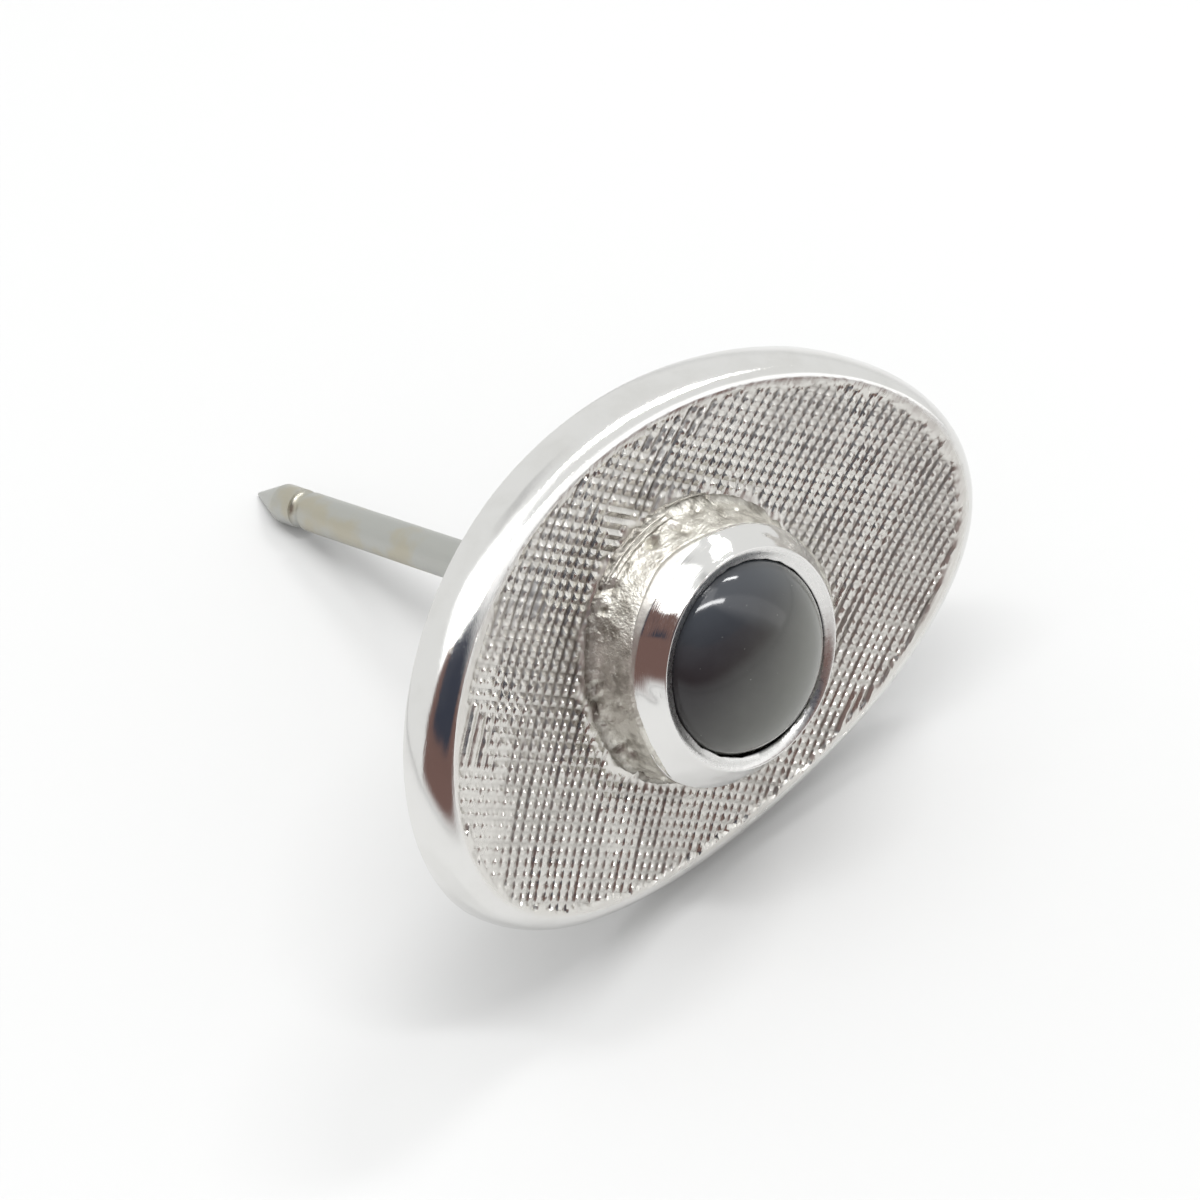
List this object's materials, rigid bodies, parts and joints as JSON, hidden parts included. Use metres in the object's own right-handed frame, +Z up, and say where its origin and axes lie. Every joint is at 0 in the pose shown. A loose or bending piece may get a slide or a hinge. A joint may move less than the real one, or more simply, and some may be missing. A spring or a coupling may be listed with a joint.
{
  "type": "tie tack",
  "caption": "Oval tie tack: dished cross-hatched metal plate with a polished rim, a bezel-set dark cabochon and a grooved nail post on a round back pad.",
  "frame": {"origin": "centre of the tack's footprint on the level surface it lies on, at that surface's height", "axes": "+X along the oval's long axis; +Z up; +Y towards the tip of the post, so the face looks towards -Y and about 20 degrees up"},
  "size_m": [0.015, 0.0166, 0.0097],
  "materials": {
    "engraved_silver": "bright silver-tone plating, cross-hatched field with a polished border",
    "polished_silver": "polished silver-tone metal with fine scratches",
    "solder": "rough grey silver solder with pits and grains",
    "stone": "glossy dark grey cabochon with a soft lighter sheen",
    "cement": "dull setting cement",
    "steel": "dull drawn steel wire with faint die lines"
  },
  "bodies": {
    "root": {"face_plate": "engraved_silver", "bezel_cup": "polished_silver", "bezel_solder": "solder", "stone_cement": "cement", "cabochon": "stone", "pad_solder": "solder", "post_pad": "steel", "post": "steel", "post_weld": "solder"}
  },
  "joints": []
}
